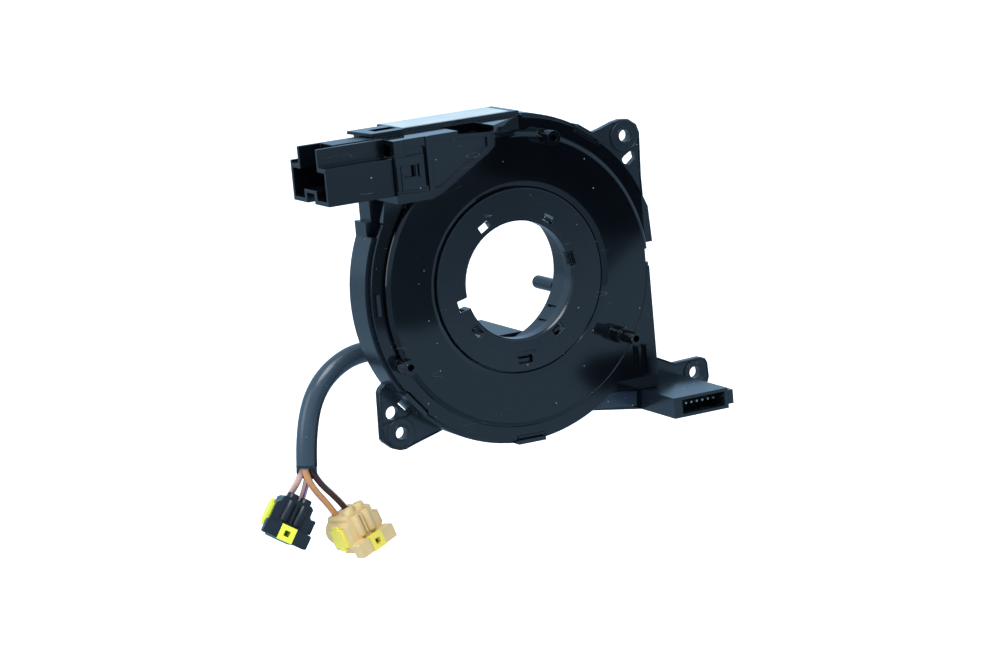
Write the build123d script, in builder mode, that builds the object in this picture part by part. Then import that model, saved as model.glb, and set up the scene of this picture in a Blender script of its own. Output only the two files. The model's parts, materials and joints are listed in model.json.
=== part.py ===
"""Steering clock spring: flat-cable drum with a turning hub and its airbag harness.

Axes: +X to the right in the face, +Y away from the steering column, +Z up.
Origin: the turning axis, in the plane of the screw pads. All sizes in mm.
"""

from math import atan2, cos, degrees, pi, radians, sin, tan
import os

from build123d import *

os.makedirs("parts", exist_ok=True)

# ---- Depths along Y, from the plane of the screw pads ----
face_y = -13.0  # front face of the cover
flange_y = face_y + 1.5  # cover flange round the face
part_y = flange_y + 2.5  # joint between cover and shell
floor_y = 0.5  # inner face of the shell floor
rear_y = 3.0  # rear face of the shell and ears
block_y = 10.6  # rear of the terminal block
hub_y = 8.5  # rear end of the hub tube
pin_y = 25.0  # tip of the drive pin
tower_y = 41.0  # rear end of the cable tower

# ---- Radii ----
drum_r = 56.6
cover_r = drum_r - 1.3  # cover flange, a little inside the drum
disc_r = drum_r - 6.1  # raised face of the cover
groove_r = disc_r + 1.4
chamber_r = drum_r - 9.1  # ribbon chamber
bore_r = 20.2  # through the retaining ring
hub_bore_r = bore_r + 4.0  # leaves room for the ring's skirt and the hooks
hub_wall = 2.4
tube_r = hub_bore_r + hub_wall  # hub tube inside the ribbon
ring_r = tube_r + 5.0  # retaining ring
rotor_disc_r = chamber_r - 0.7

# ---- Walls and clearances ----
wall = 2.2
ring_wall = 2.0  # wall round the ribbon chamber
plate = 2.2  # cover plate
run_gap = 0.35  # between turning and fixed pieces
fit_gap = 0.1  # between pieces that plug into one another

# ---- Outline beside the drum ----
flat_x = 50.3  # flat flank on the right
corner_z = -46.2
duct_top_z = -43.6
duct_low_z = -50.3
duct_drop = 3.1  # the duct falls this much on its way right
duct_x0 = 24.0
duct_x1 = 44.2

# ---- Terminal block, socket holder and harness socket ----
block_x0 = -37.0
block_x1 = 7.0
block_z0 = 50.3
block_z1 = 57.0
step_z = 27.2  # top of the full-width wall on the left
holder_x0 = -49.0
holder_x1 = -37.3
holder_z0 = 34.9
holder_z1 = 55.8
holder_y = -26.0  # front of the holder and its web, well ahead of the face
holder_rear_y = 3.8
holder_wall = 1.6
web_x1 = -11.6  # right end of the web
socket_x = -73.3  # mouth of the harness socket
socket_z0 = 37.5
socket_z1 = 56.0
socket_y0 = -25.0
socket_y1 = 2.7
neck_y0 = -19.6  # the socket is narrower above its step
neck_y1 = -3.6
socket_step_z = 50.0
socket_wall = 1.5
label_size = (40.0, 17.6, 0.2)

# ---- Module connector ----
shroud_x0 = 44.2
shroud_x1 = 65.8
shroud_z0 = -53.4
shroud_z1 = -46.2
shroud_y = -33.0
shroud_wall = 1.1
mouth_x = 55.9  # middle of the mouth and of its row of pins
mouth_w = 17.0
mouth_depth = 14.0
contact = 0.64  # square contacts of both connectors
pin_pitch = 2.2
module_pin_count = 7

# ---- Ears: (screw X, screw Z) and the screw ----
ear_right = (52.0, 41.1)
ear_left = (-43.9, -47.2)
ear_low = (72.4, -46.7)
screw_r = 2.1
pad_r = 4.9
plateau_edge = (
    (-50.6, -43.4),
    (-47.0, -42.7),
    (-44.3, -42.0),
    (-41.6, -42.3),
    (-39.0, -41.0),
    (-37.2, -39.8),
)
plateau_side = ((-33.5, -46.5), (-38.5, -51.0), (-43.5, -52.4), (-49.8, -49.0))

# ---- Harness ----
sleeve_d = 7.2
wire_d = 2.3
cable_y = 32.0  # depth at which the harness hangs
tower_x0 = -19.0
tower_x1 = 11.4
tower_z0 = -41.0
tower_z1 = -22.3


def face(y):
    """Plane across the axis at depth y, drawn as X and Z, growing towards the column."""
    return Plane(origin=(0, y, 0), x_dir=(1, 0, 0), z_dir=(0, -1, 0))


def side(x):
    """Plane at X, drawn as Y and Z, growing towards +X."""
    return Plane(origin=(x, 0, 0), x_dir=(0, 1, 0), z_dir=(1, 0, 0))


def polar(radius, angle):
    return (radius * cos(radians(angle)), radius * sin(radians(angle)))


def outline(radius, inset):
    """Drum with its flat flank, square corner and duct, drawn as X and Z."""
    with BuildSketch() as drawing:
        Circle(radius - inset)
        with BuildLine():
            Polyline(
                (0, 0),
                (flat_x - inset, 0),
                (flat_x - inset, corner_z + inset),
                (duct_x1 - inset, duct_low_z - duct_drop + inset),
                (duct_x0, duct_low_z + inset),
                close=True,
            )
        make_face()
        with Locations((flat_x - inset + drum_r, 0)):
            Rectangle(2 * drum_r, 4 * drum_r, mode=Mode.SUBTRACT)
    return drawing.sketch


# ======== STATOR ========

# Shell: the back of the drum, its ribbon chamber, three ears and both connector boxes
latch_r = drum_r - 3.4  # hook that stands in a window of the flange
latch_w = 7.4
latch_t = 1.3
edge_latch_angles = (55.3, 219.6, 269.5)  # hooks that stand in notches of the flange's rim
edge_latch_w = 10.6
edge_latch_r = drum_r - 1.4
notch_r = edge_latch_r - 0.8
board_gap = 0.4  # between the terminal block and the holder beside it
block_wall = 1.6

with BuildPart() as shell:
    with BuildSketch(face(rear_y)):
        add(outline(drum_r, 0))
    extrude(amount=rear_y - part_y)
    with BuildSketch(face(floor_y)):
        Circle(chamber_r)
    extrude(amount=floor_y - part_y, mode=Mode.SUBTRACT)
    with BuildSketch(face(floor_y)):
        add(outline(drum_r, wall))
        Circle(chamber_r + ring_wall, mode=Mode.SUBTRACT)
    extrude(amount=floor_y - part_y, mode=Mode.SUBTRACT)
    with BuildSketch(face(rear_y)):
        Circle(tube_r + 2.8)
    extrude(amount=rear_y - floor_y, mode=Mode.SUBTRACT)
    # ears behind the drum
    ear_y = floor_y
    with BuildSketch(face(rear_y)):
        with BuildLine():
            Polyline(
                (36, 43.0),
                (42.9, 44.7),
                (48.3, 46.4),
                (51.1, 46.9),
                (54.3, 46.6),
                (57.3, 44.4),
                (58.3, 41.4),
                (57.6, 26.4),
                (57.7, 19.0),
                (59.3, 15.2),
                (59.9, 2.6),
                (48.0, 2.6),
                close=True,
            )
        make_face()
        with BuildLine():
            Polyline(
                (-46.7, -27.9),
                (-50.0, -30.8),
                (-50.7, -32.0),
                (-51.2, -48.3),
                (-50.6, -49.4),
                (-47.5, -52.1),
                (-44.9, -53.1),
                (-42.6, -53.2),
                (-38.7, -52.0),
                (-27.3, -48.9),
                (-30, -30),
                close=True,
            )
        make_face()
        with BuildLine():
            Polyline(
                (45, -36.0),
                (57.5, -38.6),
                (64.6, -42.0),
                (75.3, -41.7),
                (77.3, -42.4),
                (78.2, -44.1),
                (78.4, -49.2),
                (77.8, -50.9),
                (76.0, -52.6),
                (70.0, -53.4),
                (45, -53.0),
                close=True,
            )
        make_face()
        Circle(chamber_r + 1, mode=Mode.SUBTRACT)
    extrude(amount=rear_y - ear_y)
    # terminal block, standing on the drum beside the socket holder
    with BuildSketch(face(rear_y)):
        with BuildLine():
            Polyline(
                (block_x0, 40),
                (block_x0, block_z1),
                (block_x1, block_z1),
                (block_x1, 48),
                (-28, 40),
                close=True,
            )
        make_face()
        Circle(chamber_r + 1, mode=Mode.SUBTRACT)
    extrude(amount=rear_y - part_y)
    with BuildSketch(side(holder_x1 + board_gap)):
        with Locations(((part_y + block_y) / 2, (block_z0 + block_z1) / 2)):
            Rectangle(block_y - part_y, block_z1 - block_z0)
    extrude(amount=block_x1 - holder_x1 - board_gap)
    with BuildSketch(side(holder_x1 + board_gap + wall)):
        with Locations(((part_y + block_y - wall) / 2, (block_z0 + block_z1) / 2)):
            Rectangle(block_y - wall - part_y, block_z1 - block_z0 - 2 * block_wall)
    extrude(amount=block_x1 - holder_x1 - board_gap - 2 * wall - 2.0, mode=Mode.SUBTRACT)
    # passage from the ribbon chamber up into the block
    with BuildSketch(face(floor_y)):
        with Locations((-6, 50)):
            Rectangle(3.0, 8)
    extrude(amount=floor_y - part_y, mode=Mode.SUBTRACT)
    # corner cut away behind the socket holder
    with BuildSketch(face(rear_y)):
        with Locations((holder_x1 + 0.3, holder_z0 - 0.3)):
            Rectangle(40, 30, align=(Align.MAX, Align.MIN))
        Circle(chamber_r + ring_wall, mode=Mode.SUBTRACT)
    extrude(amount=rear_y - part_y, mode=Mode.SUBTRACT)
    # module connector box, reaching forward past the face
    with BuildSketch(face(rear_y)):
        with Locations(((shroud_x0 + shroud_x1) / 2, (shroud_z0 + shroud_z1) / 2)):
            Rectangle(shroud_x1 - shroud_x0, shroud_z1 - shroud_z0)
    extrude(amount=rear_y - shroud_y)
    with BuildSketch(face(shroud_y + mouth_depth)):
        with Locations((mouth_x, (shroud_z0 + shroud_z1) / 2)):
            Rectangle(mouth_w, shroud_z1 - shroud_z0 - 2 * shroud_wall)
    extrude(amount=mouth_depth, mode=Mode.SUBTRACT)
    with BuildSketch(face(floor_y)):
        with Locations(((shroud_x0 + shroud_x1) / 2 - 2.0, (shroud_z0 + shroud_z1) / 2)):
            Rectangle(shroud_x1 - shroud_x0 - 0.4, shroud_z1 - shroud_z0 - 2 * shroud_wall)
    extrude(amount=floor_y - part_y, mode=Mode.SUBTRACT)
    with BuildSketch(face(part_y + 1)):
        with Locations((mouth_x, (shroud_z0 + shroud_z1) / 2)):
            with GridLocations(pin_pitch, 1, module_pin_count, 1):
                Rectangle(contact, contact)
    extrude(amount=part_y + 20.0, mode=Mode.SUBTRACT)
    # screw holes, pads and the locating windows in the ears
    with BuildSketch(face(ear_y)):
        for ear, radius in ((ear_right, pad_r + 0.6), (ear_left, pad_r + 0.5), (ear_low, pad_r - 0.7)):
            with Locations(ear):
                Circle(radius)
    extrude(amount=ear_y)
    # raised lower part of the left ear, with its curved edge
    with BuildSketch(face(ear_y)):
        with BuildLine():
            Spline(*plateau_edge)
            Polyline(plateau_edge[-1], *plateau_side, plateau_edge[0])
        make_face()
    extrude(amount=0.25)
    with BuildSketch(face(rear_y)):
        with Locations(ear_right, ear_left, ear_low):
            Circle(screw_r)
        with BuildLine():
            Polyline(
                (54.2, 35.5),
                (55.6, 34.7),
                (56.0, 32.8),
                (53.2, 30.6),
                (50.8, 31.6),
                (50.6, 33.1),
                (51.5, 34.0),
                close=True,
            )
        make_face()
        with Locations((-46.5, -39.8)):
            Circle(2.3)
        with BuildLine():
            Polyline((-40.6, -34.6), (-44.1, -36.9), (-40.8, -40.5), (-37.4, -38.1), close=True)
        make_face()
    extrude(amount=rear_y, mode=Mode.SUBTRACT)
    # snap hook that comes up through the cover
    hook = Plane(origin=(-latch_r, floor_y, 0), x_dir=(0, 0, 1), z_dir=(0, -1, 0))
    with BuildSketch(hook):
        Rectangle(latch_w, latch_t)
    extrude(amount=floor_y - flange_y + 0.8)
    # snap hooks in the rim: the drum's wall stands up through the flange's notches
    for angle in edge_latch_angles:
        hook = Plane(
            origin=(edge_latch_r * cos(radians(angle)), rear_y, edge_latch_r * sin(radians(angle))),
            x_dir=(cos(radians(angle)), 0, sin(radians(angle))),
            z_dir=(0, -1, 0),
        )
        with BuildSketch(hook):
            Rectangle(drum_r - edge_latch_r, edge_latch_w, align=(Align.MIN, Align.CENTER))
        extrude(amount=rear_y - flange_y + 0.4)
    # stop block below the socket, its step, and the slot in front of them
    with BuildSketch(face(rear_y)):
        with BuildLine():
            Polyline(
                (-52.1, 20.0),
                (-52.1, step_z),
                (-50.0, step_z),
                (-50.0, holder_z0 - 0.3),
                (-44.4, holder_z0 - 0.3),
                (-44.4, 26.0),
                (-46.5, 20.0),
                close=True,
            )
        make_face()
    extrude(amount=rear_y - part_y)
    with BuildSketch(face(-5.5)):
        with Locations((-48.0, 29.5)):
            Rectangle(10.0, 14.0)
        Circle(chamber_r + ring_wall, mode=Mode.SUBTRACT)
    extrude(amount=-5.5 - part_y, mode=Mode.SUBTRACT)
    # side lug of the module connector
    with BuildSketch(face(shroud_y + 4.0)):
        with Locations((shroud_x1 + 1.2, (shroud_z0 + shroud_z1) / 2)):
            Rectangle(2.6, 4.9)
    extrude(amount=3.2)
shell.part.label = "stator_shell"

# Cover: the face, its bosses, the socket holder and the web that braces it
land_y = face_y + 2.0  # land under the retaining ring
boss_top = (13.8, 47.4, 2.5, 8.5)
boss_left = (-46.4, -21.5, 2.7, 6.5)
boss_right = (35.0, -24.5, 2.9, 6.0)
boss_hole_r = 1.15

tile_x = -24.8  # right edge of the roof's left tile
tenon_reach = 6.0
tenon_y = -11.3
tenon_z = 44.4
tenon_size = (25.6, 12.0)
web_outline = (
    (holder_x1 - 0.1, holder_z0),
    (-35.6, holder_z0),
    (-31.7, 36.5),
    (-13.8, 47.2),
    (web_x1, 49.0),
    (web_x1, holder_z1),
    (holder_x1 - 0.1, holder_z1),
)
web_hollow = (
    (-35.6, 37.2),
    (-32.4, 38.3),
    (-14.4, 49.0),
    (web_x1 - 1.6, 50.2),
    (web_x1 - 1.6, holder_z1 - 1.5),
    (-35.6, holder_z1 - 1.5),
)

with BuildPart() as cover:
    with BuildSketch(Plane.XY):
        with BuildLine():
            Polyline(
                (tube_r + 0.6, land_y),
                (ring_r + run_gap, land_y),
                (ring_r + run_gap, face_y + 0.9),
                (ring_r + 2.3, face_y),
                (disc_r - 1.6, face_y),
                (disc_r - 0.7, face_y + 0.25),
                (disc_r - 0.1, face_y + 0.8),
                (disc_r + 0.1, face_y + 1.4),
                (disc_r + 0.1, flange_y + 0.7),
                (ring_r + 1.6, face_y + plate),
                (ring_r + 0.6, land_y + 1.3),
                (tube_r + 0.6, land_y + 1.3),
                close=True,
            )
        make_face()
    revolve(axis=Axis.Y)
    with BuildSketch(face(part_y)):
        add(outline(cover_r, 0))
        Circle(disc_r, mode=Mode.SUBTRACT)
        with Locations((0, 88)):
            Rectangle(200, 60, mode=Mode.SUBTRACT)
        with BuildLine():
            Polyline((14, -38), (duct_x0, duct_top_z), (70, -50.6), (70, -80), (0, -80), (0, -58), close=True)
        make_face(mode=Mode.SUBTRACT)
        Circle(cover_r)
        Circle(disc_r, mode=Mode.SUBTRACT)
        with Locations((flat_x + 20, 0)):
            Rectangle(40, 60, mode=Mode.SUBTRACT)
        with BuildLine():
            Polyline(
                (-49.3, 22.9),
                (-47.3, 33.1),
                (-47.1, holder_z0 + 1.0),
                (-42.0, holder_z0 + 1.0),
                (-44.0, 27.0),
                close=True,
            )
        make_face()
    extrude(amount=part_y - flange_y)
    # raised corner on the right, flush with the face
    with BuildSketch(face(flange_y)):
        with BuildLine():
            Polyline(
                (44, -3.0),
                (flat_x, -3.0),
                (flat_x, duct_top_z - duct_drop + 1.0),
                (duct_x0, duct_top_z),
                (duct_x0, -40),
                close=True,
            )
        make_face()
        Circle(disc_r - 1.0, mode=Mode.SUBTRACT)
    extrude(amount=flange_y - face_y)
    # lid over the duct
    with BuildSketch(face(part_y)):
        with BuildLine():
            Polyline(
                (duct_x0 - 4, -46.0),
                (duct_x0 - 2, duct_low_z + 0.4),
                (duct_x0, duct_low_z),
                (duct_x1, duct_low_z - duct_drop),
                (duct_x1, duct_top_z - duct_drop),
                (duct_x0, duct_top_z),
                close=True,
            )
        make_face()
    extrude(amount=0.9)
    # front wall of the terminal block
    with BuildSketch(face(part_y)):
        with BuildLine():
            Polyline(
                (block_x0, 40),
                (block_x0, holder_z1),
                (block_x1, holder_z1),
                (block_x1, 48),
                (-28, 40),
                close=True,
            )
        make_face()
        Circle(chamber_r + ring_wall, mode=Mode.SUBTRACT)
    extrude(amount=part_y - flange_y)
    # socket holder, open to the left
    with BuildSketch(side(holder_x0)):
        with Locations(((holder_y + holder_rear_y) / 2, (holder_z0 + holder_z1) / 2)):
            Rectangle(holder_rear_y - holder_y, holder_z1 - holder_z0)
    extrude(amount=holder_x1 - holder_x0)
    with BuildSketch(side(holder_x0)):
        with Locations((tenon_y, tenon_z)):
            Rectangle(tenon_size[0] + 2 * fit_gap, tenon_size[1] + 2 * fit_gap)
        with Locations((tenon_y, tenon_z)):
            Rectangle(
                tenon_size[0] + 2 * fit_gap,
                holder_z1 - holder_wall - tenon_z,
                align=(Align.CENTER, Align.MIN),
            )
    extrude(amount=tenon_reach + 0.2, mode=Mode.SUBTRACT)
    # the ribbon chamber stays clear behind the plate
    with BuildSketch(face(block_y)):
        Circle(chamber_r + ring_wall + 0.3)
    extrude(amount=block_y - face_y - plate, mode=Mode.SUBTRACT)
    # web: a hollow brace that carries the holder's front back to the face
    with BuildSketch(face(face_y + 0.5)):
        with BuildLine():
            Polyline(*web_outline, close=True)
        make_face()
        with BuildLine():
            Polyline(*web_hollow, close=True)
        make_face(mode=Mode.SUBTRACT)
    extrude(amount=face_y + 0.5 - holder_y)
    with BuildSketch(face(holder_y + holder_wall)):
        with BuildLine():
            Polyline(*web_outline, close=True)
        make_face()
    extrude(amount=holder_wall)
    with BuildSketch(face(holder_y)):
        with BuildLine():
            Polyline(
                (-35.0, 54.2),
                (-26.0, 53.2),
                (-14.4, 52.4),
                (-14.4, 49.2),
                (-32.3, 38.6),
                (-35.0, 38.2),
                close=True,
            )
        make_face()
    extrude(amount=-0.9, mode=Mode.SUBTRACT)
    # roof of the slanted end, and the wall below it
    with BuildSketch(Plane.XY.offset(holder_z1 - 6.2)):
        with BuildLine():
            Polyline(
                (web_x1 - holder_wall, holder_y),
                (web_x1, holder_y),
                (5.2, flange_y - 0.2),
                (5.2, part_y),
                (web_x1 - holder_wall, part_y),
                close=True,
            )
        make_face()
    extrude(amount=6.2)
    with BuildSketch(Plane.XY.offset(holder_z1 - 4.8)):
        with BuildLine():
            Polyline(
                (web_x1 - 3.0, holder_y + 2.2),
                (web_x1 - 0.8, holder_y + 2.2),
                (2.2, flange_y - 0.8),
                (web_x1 - 3.0, flange_y - 0.8),
                close=True,
            )
        make_face()
    extrude(amount=3.4, mode=Mode.SUBTRACT)
    # opening in the roof between the two tiles, and the lowered rim in front of it
    with BuildSketch(Plane.XY.offset(holder_z1 - 3.0)):
        with BuildLine():
            Polyline(
                (tile_x, holder_y + holder_wall),
                (tile_x, -11.6),
                (web_x1, -11.6),
                (web_x1, holder_y + holder_wall),
                close=True,
            )
        make_face()
    extrude(amount=5.0, mode=Mode.SUBTRACT)
    with BuildSketch(face(holder_y + holder_wall)):
        with BuildLine():
            Polyline((tile_x, 58), (tile_x, 54.6), (web_x1, 53.8), (web_x1, 58), close=True)
        make_face()
    extrude(amount=holder_wall + 1, mode=Mode.SUBTRACT)
    # relief on the holder's front: corner block, sunk lintel, panel, ledge and upright rib
    with BuildSketch(face(holder_y)):
        with Locations((-47.1, 53.5)):
            Rectangle(3.8, holder_z1 - 51.2)
        with BuildLine():
            Polyline((-48.9, 38.9), (-48.9, 50.2), (-40.4, 49.9), (-38.5, 48.3), (-38.3, 38.9), close=True)
        make_face()
        with BuildLine():
            Polyline((-48.9, 34.9), (-48.9, 38.3), (-35.8, 37.6), (-35.8, 34.9), close=True)
        make_face()
        with Locations((-36.4, 46.6)):
            Rectangle(1.6, 18.4)
    extrude(amount=0.5)
    with BuildSketch(face(holder_y)):
        with Locations((-41.4, 51.6)):
            Rectangle(6.8, 2.6)
        with Locations((-37.7, 46.0)):
            Rectangle(0.8, 13.0)
    extrude(amount=-1.0, mode=Mode.SUBTRACT)
    with BuildSketch(face(holder_y - 0.5)):
        with Locations((-43.3, 45.2)):
            Rectangle(5.6, 3.8)
    extrude(amount=-1.4, mode=Mode.SUBTRACT)
    with BuildSketch(face(holder_y)):
        with Locations((-48.4, 43.2), (-46.8, 43.2)):
            Rectangle(0.8, 8.4)
        with Locations((-40.2, 45.2)):
            Rectangle(0.8, 4.8)
        with Locations((-41.6, 45.2)):
            Rectangle(0.7, 3.8)
    extrude(amount=0.9)
    # latch arm on the holder's roof, forked towards the label
    with BuildSketch(Plane.XY.offset(socket_z1 + 0.2)):
        with BuildLine():
            Polyline((-51.4, 3.6), (-38.0, 3.6), (-38.0, -12.4), (-49.8, -12.4), close=True)
        make_face()
        with Locations((-42.2, -5.0)):
            Rectangle(8.4, 5.6, mode=Mode.SUBTRACT)
    extrude(amount=1.1)
    with BuildSketch(Plane.XY.offset(holder_z1)):
        with Locations((-43.4, 1.5), (-43.4, -10.2)):
            Rectangle(10.8, 4.2)
    extrude(amount=socket_z1 + 0.2 - holder_z1)
    # deep groove on the left of the face
    with BuildSketch(face(flange_y)):
        with BuildLine():
            CenterArc((0, 0), groove_r, 141, 62)
            CenterArc((0, 0), disc_r + 0.1, 141, 62)
            Line(polar(groove_r, 141), polar(disc_r + 0.1, 141))
            Line(polar(groove_r, 203), polar(disc_r + 0.1, 203))
        make_face()
    extrude(amount=-1.4, mode=Mode.SUBTRACT)
    # window for the snap hook on the left
    window = Plane(origin=(-latch_r, flange_y, 0), x_dir=(0, 0, 1), z_dir=(0, -1, 0))
    with BuildSketch(window):
        Rectangle(latch_w + 2 * fit_gap, latch_t + 2 * fit_gap)
    extrude(amount=-(part_y - flange_y), mode=Mode.SUBTRACT)
    # notches in the rim for the other hooks, each with a raised lip on its inner side
    for angle in edge_latch_angles:
        notch = Plane(
            origin=(notch_r * cos(radians(angle)), part_y, notch_r * sin(radians(angle))),
            x_dir=(cos(radians(angle)), 0, sin(radians(angle))),
            z_dir=(0, -1, 0),
        )
        with BuildSketch(notch):
            Rectangle(6.0, edge_latch_w + 0.8, align=(Align.MIN, Align.CENTER))
        extrude(amount=part_y - flange_y + 0.2, mode=Mode.SUBTRACT)
        with BuildSketch(notch):
            Rectangle(0.8, edge_latch_w, align=(Align.MAX, Align.CENTER))
        extrude(amount=part_y - flange_y + 0.5)
    # hollow bosses
    for x, z, radius, height in (boss_top, boss_left):
        with BuildSketch(face(flange_y)):
            with Locations((x, z)):
                Circle(radius)
        extrude(amount=height)
    with BuildSketch(face(flange_y)):
        with Locations(boss_right[:2]):
            Circle(boss_right[2])
    extrude(amount=boss_right[3] + flange_y - face_y)
    with BuildSketch(face(flange_y)):
        with Locations(boss_right[:2]):
            Circle(2.1)
    extrude(amount=14.0 + flange_y - face_y)
    for (x, z), bottom in ((boss_top[:2], -14), (boss_left[:2], -12), (boss_right[:2], -15)):
        with BuildSketch(face(bottom)):
            with Locations((x, z)):
                Circle(boss_hole_r)
        extrude(amount=20.0, mode=Mode.SUBTRACT)
    # twin ribs above the duct
    for x in (42.6, 45.8):
        with BuildSketch(face(flange_y)):
            with Locations((x, -35.2)):
                Rectangle(1.2, 10.0)
        extrude(amount=flange_y - face_y + 2.0)
    # cut round the module connector box, and the notch in the flank
    with BuildSketch(face(part_y)):
        with Locations(((shroud_x0 + shroud_x1) / 2, (shroud_z0 + shroud_z1) / 2)):
            Rectangle(shroud_x1 - shroud_x0 + 2 * fit_gap, shroud_z1 - shroud_z0 + 2 * fit_gap)
        with Locations((flat_x, 0.6)):
            Rectangle(2.4, 4.7)
    extrude(amount=8.0, mode=Mode.SUBTRACT)
cover.part.label = "stator_cover"

# Harness socket: an open box with a narrower upper part, plugged into the holder
socket_mid_y = (socket_y0 + socket_y1) / 2


def socket_section(inset):
    """Section of the socket, drawn as Y and Z, its walls moved inwards by the inset."""
    return (
        (socket_y0 + inset, socket_z0 + inset),
        (socket_y1 - inset, socket_z0 + inset),
        (socket_y1 - inset, socket_step_z - inset),
        (neck_y1 - inset, socket_step_z - inset),
        (neck_y1 - inset, socket_z1 - inset),
        (neck_y0 + inset, socket_z1 - inset),
        (neck_y0 + inset, socket_step_z - inset),
        (socket_y0 + inset, socket_step_z - inset),
    )


with BuildPart() as socket:
    with BuildSketch(side(socket_x)):
        with BuildLine():
            Polyline(*socket_section(0), close=True)
        make_face()
    extrude(amount=holder_x0 - socket_x)
    with BuildSketch(side(socket_x)):
        with BuildLine():
            Polyline(*socket_section(socket_wall), close=True)
        make_face()
    extrude(amount=holder_x0 - socket_x - 2.0, mode=Mode.SUBTRACT)
    # keying rail along the floor, hollow from below
    with BuildSketch(side(socket_x)):
        with Locations((socket_mid_y, socket_z0)):
            Rectangle(9.6, 4.6, align=(Align.CENTER, Align.MIN))
    extrude(amount=holder_x0 - socket_x)
    with BuildSketch(side(socket_x)):
        with Locations((socket_mid_y, socket_z0)):
            Rectangle(5.8, 3.4, align=(Align.CENTER, Align.MIN))
    extrude(amount=14.0, mode=Mode.SUBTRACT)
    # opening in the roof behind the mouth, and a low rim along the front of the roof
    with BuildSketch(side(socket_x)):
        with Locations(((neck_y0 + neck_y1) / 2, socket_z1)):
            Rectangle(neck_y1 - neck_y0 - 2 * socket_wall, 4.0)
    extrude(amount=8.0, mode=Mode.SUBTRACT)
    with BuildSketch(side(socket_x + 8.0)):
        with Locations((neck_y0 + 3.4, socket_z1)):
            Rectangle(3.0, 1.2)
    extrude(amount=holder_x0 - socket_x - 8.0, mode=Mode.SUBTRACT)
    # low lip along the rear step
    with BuildSketch(side(socket_x)):
        with Locations((socket_y1 - 0.5, socket_step_z)):
            Rectangle(1.0, 1.0, align=(Align.CENTER, Align.MIN))
    extrude(amount=holder_x0 - socket_x - 6.0)
    # tenon held by the holder
    with BuildSketch(side(holder_x0)):
        with Locations((tenon_y, tenon_z)):
            Rectangle(*tenon_size)
    extrude(amount=tenon_reach)
    with BuildSketch(side(holder_x0 - 3)):
        with Locations((socket_mid_y, 45.2)):
            with GridLocations(3.4, 4.0, 6, 2):
                Rectangle(contact, contact)
    extrude(amount=10, mode=Mode.SUBTRACT)
socket.part.label = "harness_socket"

# Socket pins: two rows pressed through the floor of the socket
with BuildPart() as socket_pins:
    with BuildSketch(side(socket_x + 13)):
        with Locations((socket_mid_y, 45.2)):
            with GridLocations(3.4, 4.0, 6, 2):
                Rectangle(contact, contact)
    extrude(amount=holder_x0 - socket_x - 13 + tenon_reach - 0.1)
socket_pins.part.label = "socket_pins"

# Module connector pins
with BuildPart() as module_pins:
    with BuildSketch(face(-8.6)):
        with Locations((mouth_x, (shroud_z0 + shroud_z1) / 2)):
            with GridLocations(pin_pitch, 1, module_pin_count, 1):
                Rectangle(contact, contact)
    extrude(amount=19.8)
module_pins.part.label = "module_pins"

# Lead carriers: printed boards that join the ribbon to the pins
with BuildPart() as block_board:
    with BuildSketch(face(block_y - wall - 0.3)):
        with Locations((-12.6, 53.2)):
            Rectangle(27.4, 1.2)
    extrude(amount=16.0)
block_board.part.label = "block_board"

with BuildPart() as duct_board:
    with BuildSketch(face(-1.0)):
        with Locations((50.0, -49.5)):
            Rectangle(24.0, 1.0)
    extrude(amount=7.6)
duct_board.part.label = "duct_board"

# Ribbon: a flat cable wound five turns in the chamber, as half circles on two centres
ribbon_t = 0.35
ribbon_turns = 5
ribbon_r0 = tube_r + 0.9
ribbon_pitch = (chamber_r - 1.6 - ribbon_r0) / ribbon_turns
ribbon_r1 = ribbon_r0 + ribbon_turns * ribbon_pitch
with BuildPart() as ribbon:
    with BuildSketch(face(-0.2)):
        with BuildLine():
            for half in range(2 * ribbon_turns):
                centre = (0, 0) if half % 2 == 0 else (ribbon_pitch / 2, 0)
                radius = ribbon_r0 + half * ribbon_pitch / 2
                start = 0 if half % 2 == 0 else 180
                CenterArc(centre, radius, start, 180)
                CenterArc(centre, radius + ribbon_t, start, 180)
            Line((ribbon_r0, 0), (ribbon_r0 + ribbon_t, 0))
            Line((ribbon_r1, 0), (ribbon_r1 + ribbon_t, 0))
        make_face()
    extrude(amount=9.9)
ribbon.part.label = "ribbon_cable"

# Slip sheets on both sides of the ribbon
slip_t = 0.3
with BuildPart() as slip_front:
    with BuildSketch(face(face_y + plate + slip_t)):
        Circle(chamber_r - 0.4)
        Circle(ring_r + 2.2, mode=Mode.SUBTRACT)
    extrude(amount=slip_t)
slip_front.part.label = "slip_sheet_front"

with BuildPart() as slip_rear:
    with BuildSketch(face(floor_y)):
        Circle(chamber_r - 0.4)
        Circle(tube_r + 2.8, mode=Mode.SUBTRACT)
    extrude(amount=slip_t)
slip_rear.part.label = "slip_sheet_rear"

# Bare label on the roof of the terminal block
with BuildPart() as label:
    with BuildSketch(Plane.XY.offset(block_z1)):
        with Locations(((block_x0 + block_x1) / 2 - 1.2, (part_y + block_y) / 2)):
            RectangleRounded(label_size[0], label_size[1], 1.0)
    extrude(amount=label_size[2])
label.part.label = "label"

# ======== ROTOR ========

# Retaining ring: flush in the face, with six windows for the hub's hooks
ring_y = face_y + 0.5
ring_under_y = land_y - run_gap
skirt_r = bore_r + 2.2
seam_y = -6.8
hook_angles = (120.0, 56.0, 304.0, 220.0)
hook_r = bore_r + 2.9
key_angle = 193.0

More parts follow.
